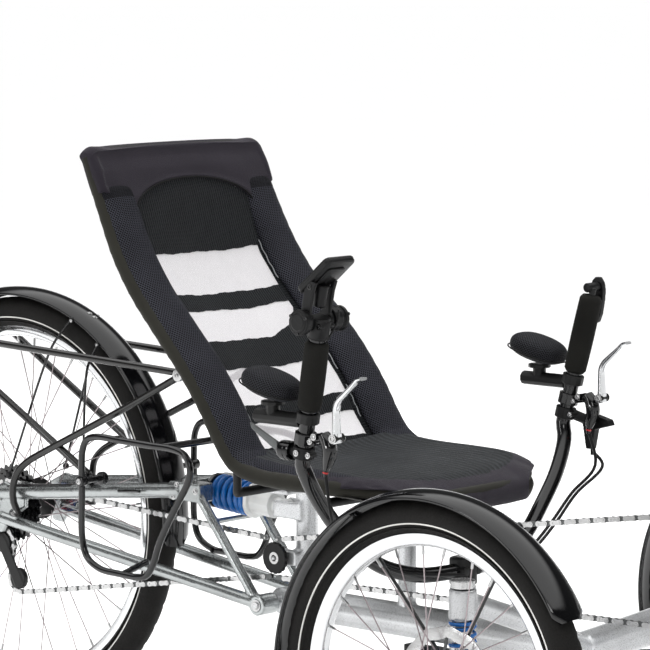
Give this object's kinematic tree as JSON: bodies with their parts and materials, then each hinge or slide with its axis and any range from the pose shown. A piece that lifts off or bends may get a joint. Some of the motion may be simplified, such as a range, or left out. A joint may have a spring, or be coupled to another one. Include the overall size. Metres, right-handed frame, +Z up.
{
  "type": "recumbent tadpole tricycle",
  "caption": "Full-suspension recumbent adult tricycle: two steered front wheels, driven rear wheel, mesh seat, under-seat handlebar, mudguards and rack.",
  "frame": {"origin": "centre of the bounding box on the floor", "axes": "+Z up, the rider faces -Y, +X is the rider's left"},
  "size_m": [0.866, 2.0567, 0.9086],
  "materials": {
    "frame_paint": "satin powder coat",
    "silver_alloy": "polished",
    "gunmetal_tube": "dark metallic",
    "black_metal": "satin black",
    "steel": "bright",
    "spring_blue": "gloss powder coat",
    "gloss_black": "gloss",
    "black_plastic": "matt",
    "foam": "fine matt foam",
    "tyre": "matt",
    "mesh_fabric": "spacer mesh",
    "panel_fabric": "smooth woven"
  },
  "bodies": {
    "frame": {"main_frame": "frame_paint", "seat_frame": "black_metal", "seat_base_cushion": "mesh_fabric", "seat_bolster_right": "mesh_fabric", "seat_bolster_left": "mesh_fabric", "seat_head_panel": "panel_fabric", "seat_back_mesh": "mesh_fabric", "kingpin_spring_right": "spring_blue", "kingpin_spring_left": "spring_blue"},
    "idler": {"chain_idler": "black_metal"},
    "boom": {"boom": "silver_alloy", "chain_front": "steel"},
    "crank": {"crankset": "black_metal"},
    "pedal_right": {"pedal_right": "black_metal"},
    "pedal_left": {"pedal_left": "black_metal"},
    "handlebar": {"handlebar": "black_metal", "grip_right": "foam", "grip_left": "foam", "brake_bracket_right": "black_metal", "brake_bracket_left": "black_metal", "bell": "black_plastic", "thumb_shifter": "black_plastic", "display_holder": "black_plastic", "brake_cable_right": "black_plastic", "brake_cable_left": "black_plastic", "shift_cable": "black_plastic"},
    "display": {"display": "gloss_black"},
    "bar_end_shifter": {"bar_end_shifter": "black_plastic"},
    "swing_arm": {"swing_arm": "silver_alloy", "rear_mudguard": "gloss_black", "rear_rack": "gunmetal_tube", "low_rider": "black_metal", "derailleur": "black_metal", "chain_rear": "steel"},
    "rear_wheel": {"rear_tyre": "tyre", "rear_wheel": "silver_alloy", "cassette": "black_metal"},
    "shock_body": {"shock_body": "silver_alloy", "shock_spring": "spring_blue"},
    "shock_rod": {"shock_rod": "black_metal"},
    "kingpin_right": {"kingpin_right": "steel"},
    "knuckle_right": {"knuckle_right": "black_metal", "front_mudguard_right": "gloss_black"},
    "front_wheel_right": {"front_tyre_right": "tyre", "front_wheel_right": "silver_alloy", "brake_disc_right": "steel"},
    "tie_rod_right": {"tie_rod_right": "black_metal"},
    "brake_lever_right": {"brake_lever_right": "silver_alloy"},
    "wrist_pad_right": {"wrist_pad_arm_right": "black_metal", "wrist_pad_right": "mesh_fabric"},
    "kingpin_left": {"kingpin_left": "steel"},
    "knuckle_left": {"knuckle_left": "black_metal", "front_mudguard_left": "gloss_black"},
    "front_wheel_left": {"front_tyre_left": "tyre", "front_wheel_left": "silver_alloy", "brake_disc_left": "steel"},
    "tie_rod_left": {"tie_rod_left": "black_metal"},
    "brake_lever_left": {"brake_lever_left": "silver_alloy"},
    "wrist_pad_left": {"wrist_pad_arm_left": "black_metal", "wrist_pad_left": "mesh_fabric"}
  },
  "joints": [
    {"name": "idler_spin", "type": "hinge", "parent": "frame", "child": "idler", "pos_m": [-0.038, 0.1127, 0.305], "axis": [1, 0, 0], "continuous": true},
    {"name": "boom_slide", "type": "slide", "parent": "frame", "child": "boom", "axis": [0, -0.9272, 0.3746], "range_m": [0, 0.06]},
    {"name": "crank_spin", "type": "hinge", "parent": "boom", "child": "crank", "pos_m": [0, -0.8123, 0.388], "axis": [1, 0, 0], "continuous": true},
    {"name": "pedal_spin_right", "type": "hinge", "parent": "crank", "child": "pedal_right", "pos_m": [-0.066, -0.9823, 0.388], "axis": [1, 0, 0], "continuous": true},
    {"name": "pedal_spin_left", "type": "hinge", "parent": "crank", "child": "pedal_left", "pos_m": [0.066, -0.6423, 0.388], "axis": [1, 0, 0], "continuous": true},
    {"name": "steering", "type": "hinge", "parent": "frame", "child": "handlebar", "pos_m": [0, -0.2173, 0.322], "axis": [0, 0, 1], "range_deg": [-25, 25]},
    {"name": "front_suspension_right", "type": "slide", "parent": "frame", "child": "kingpin_right", "axis": [0, 0, 1], "range_m": [0, 0.04], "stiffness_N_per_m": 16000, "springref_m": -0.008, "deforming": ["kingpin_spring_right"]},
    {"name": "knuckle_steer_right", "type": "hinge", "parent": "kingpin_right", "child": "knuckle_right", "pos_m": [-0.342, -0.5023, 0.25], "axis": [0, 0, 1], "range_deg": [-25, 25]},
    {"name": "front_wheel_spin_right", "type": "hinge", "parent": "knuckle_right", "child": "front_wheel_right", "pos_m": [-0.4, -0.5023, 0.25], "axis": [1, 0, 0], "continuous": true},
    {"name": "tie_rod_swivel_right", "type": "hinge", "parent": "handlebar", "child": "tie_rod_right", "pos_m": [-0.022, -0.1423, 0.18], "axis": [0, 0, 1], "range_deg": [-25, 25]},
    {"name": "brake_lever_pull_right", "type": "hinge", "parent": "handlebar", "child": "brake_lever_right", "pos_m": [-0.292, -0.2383, 0.542], "axis": [-1, 0, 0], "range_deg": [0, 20], "stiffness_Nm_per_rad": 0.6, "springref_deg": -17.19},
    {"name": "wrist_pad_swivel_right", "type": "hinge", "parent": "handlebar", "child": "wrist_pad_right", "pos_m": [-0.2909, -0.1845, 0.566], "axis": [-0.0634, -0.2144, 0.9747], "range_deg": [-25, 25]},
    {"name": "front_suspension_left", "type": "slide", "parent": "frame", "child": "kingpin_left", "axis": [0, 0, 1], "range_m": [0, 0.04], "stiffness_N_per_m": 16000, "springref_m": -0.008, "deforming": ["kingpin_spring_left"]},
    {"name": "knuckle_steer_left", "type": "hinge", "parent": "kingpin_left", "child": "knuckle_left", "pos_m": [0.342, -0.5023, 0.25], "axis": [0, 0, 1], "range_deg": [-25, 25]},
    {"name": "front_wheel_spin_left", "type": "hinge", "parent": "knuckle_left", "child": "front_wheel_left", "pos_m": [0.4, -0.5023, 0.25], "axis": [1, 0, 0], "continuous": true},
    {"name": "tie_rod_swivel_left", "type": "hinge", "parent": "handlebar", "child": "tie_rod_left", "pos_m": [0.022, -0.1423, 0.18], "axis": [0, 0, 1], "range_deg": [-25, 25]},
    {"name": "brake_lever_pull_left", "type": "hinge", "parent": "handlebar", "child": "brake_lever_left", "pos_m": [0.292, -0.2383, 0.542], "axis": [-1, 0, 0], "range_deg": [0, 20], "stiffness_Nm_per_rad": 0.6, "springref_deg": -17.19},
    {"name": "wrist_pad_swivel_left", "type": "hinge", "parent": "handlebar", "child": "wrist_pad_left", "pos_m": [0.2909, -0.1845, 0.566], "axis": [0.0634, -0.2144, 0.9747], "range_deg": [-25, 25]},
    {"name": "display_tilt", "type": "hinge", "parent": "handlebar", "child": "display", "pos_m": [-0.297, -0.2053, 0.7], "axis": [1, 0, 0], "range_deg": [-15, 20]},
    {"name": "shifter_lever", "type": "hinge", "parent": "handlebar", "child": "bar_end_shifter", "pos_m": [0.318, -0.2083, 0.703], "axis": [-1, 0, 0], "range_deg": [0, 55]},
    {"name": "rear_suspension", "type": "hinge", "parent": "frame", "child": "swing_arm", "pos_m": [0, 0.1277, 0.235], "axis": [1, 0, 0], "range_deg": [0, 8], "stiffness_Nm_per_rad": 3000, "springref_deg": -2.86},
    {"name": "rear_wheel_spin", "type": "hinge", "parent": "swing_arm", "child": "rear_wheel", "pos_m": [0, 0.6877, 0.326], "axis": [1, 0, 0], "continuous": true},
    {"name": "shock_swivel", "type": "hinge", "parent": "frame", "child": "shock_body", "pos_m": [0, 0.1297, 0.375], "axis": [1, 0, 0], "range_deg": [0, 9.5]},
    {"name": "shock_stroke", "type": "slide", "parent": "shock_body", "child": "shock_rod", "axis": [0, -0.9969, -0.0782], "range_m": [0, 0.0195], "deforming": ["shock_spring"]}
  ],
  "couplings": [
    {"joint": "knuckle_steer_right", "follows": "steering", "ratio": 1},
    {"joint": "tie_rod_swivel_right", "follows": "steering", "ratio": -1},
    {"joint": "knuckle_steer_left", "follows": "steering", "ratio": 1},
    {"joint": "tie_rod_swivel_left", "follows": "steering", "ratio": -1},
    {"joint": "shock_swivel", "follows": "rear_suspension", "ratio": 1.169},
    {"joint": "shock_stroke", "follows": "rear_suspension", "m_per_rad": 0.1379}
  ]
}
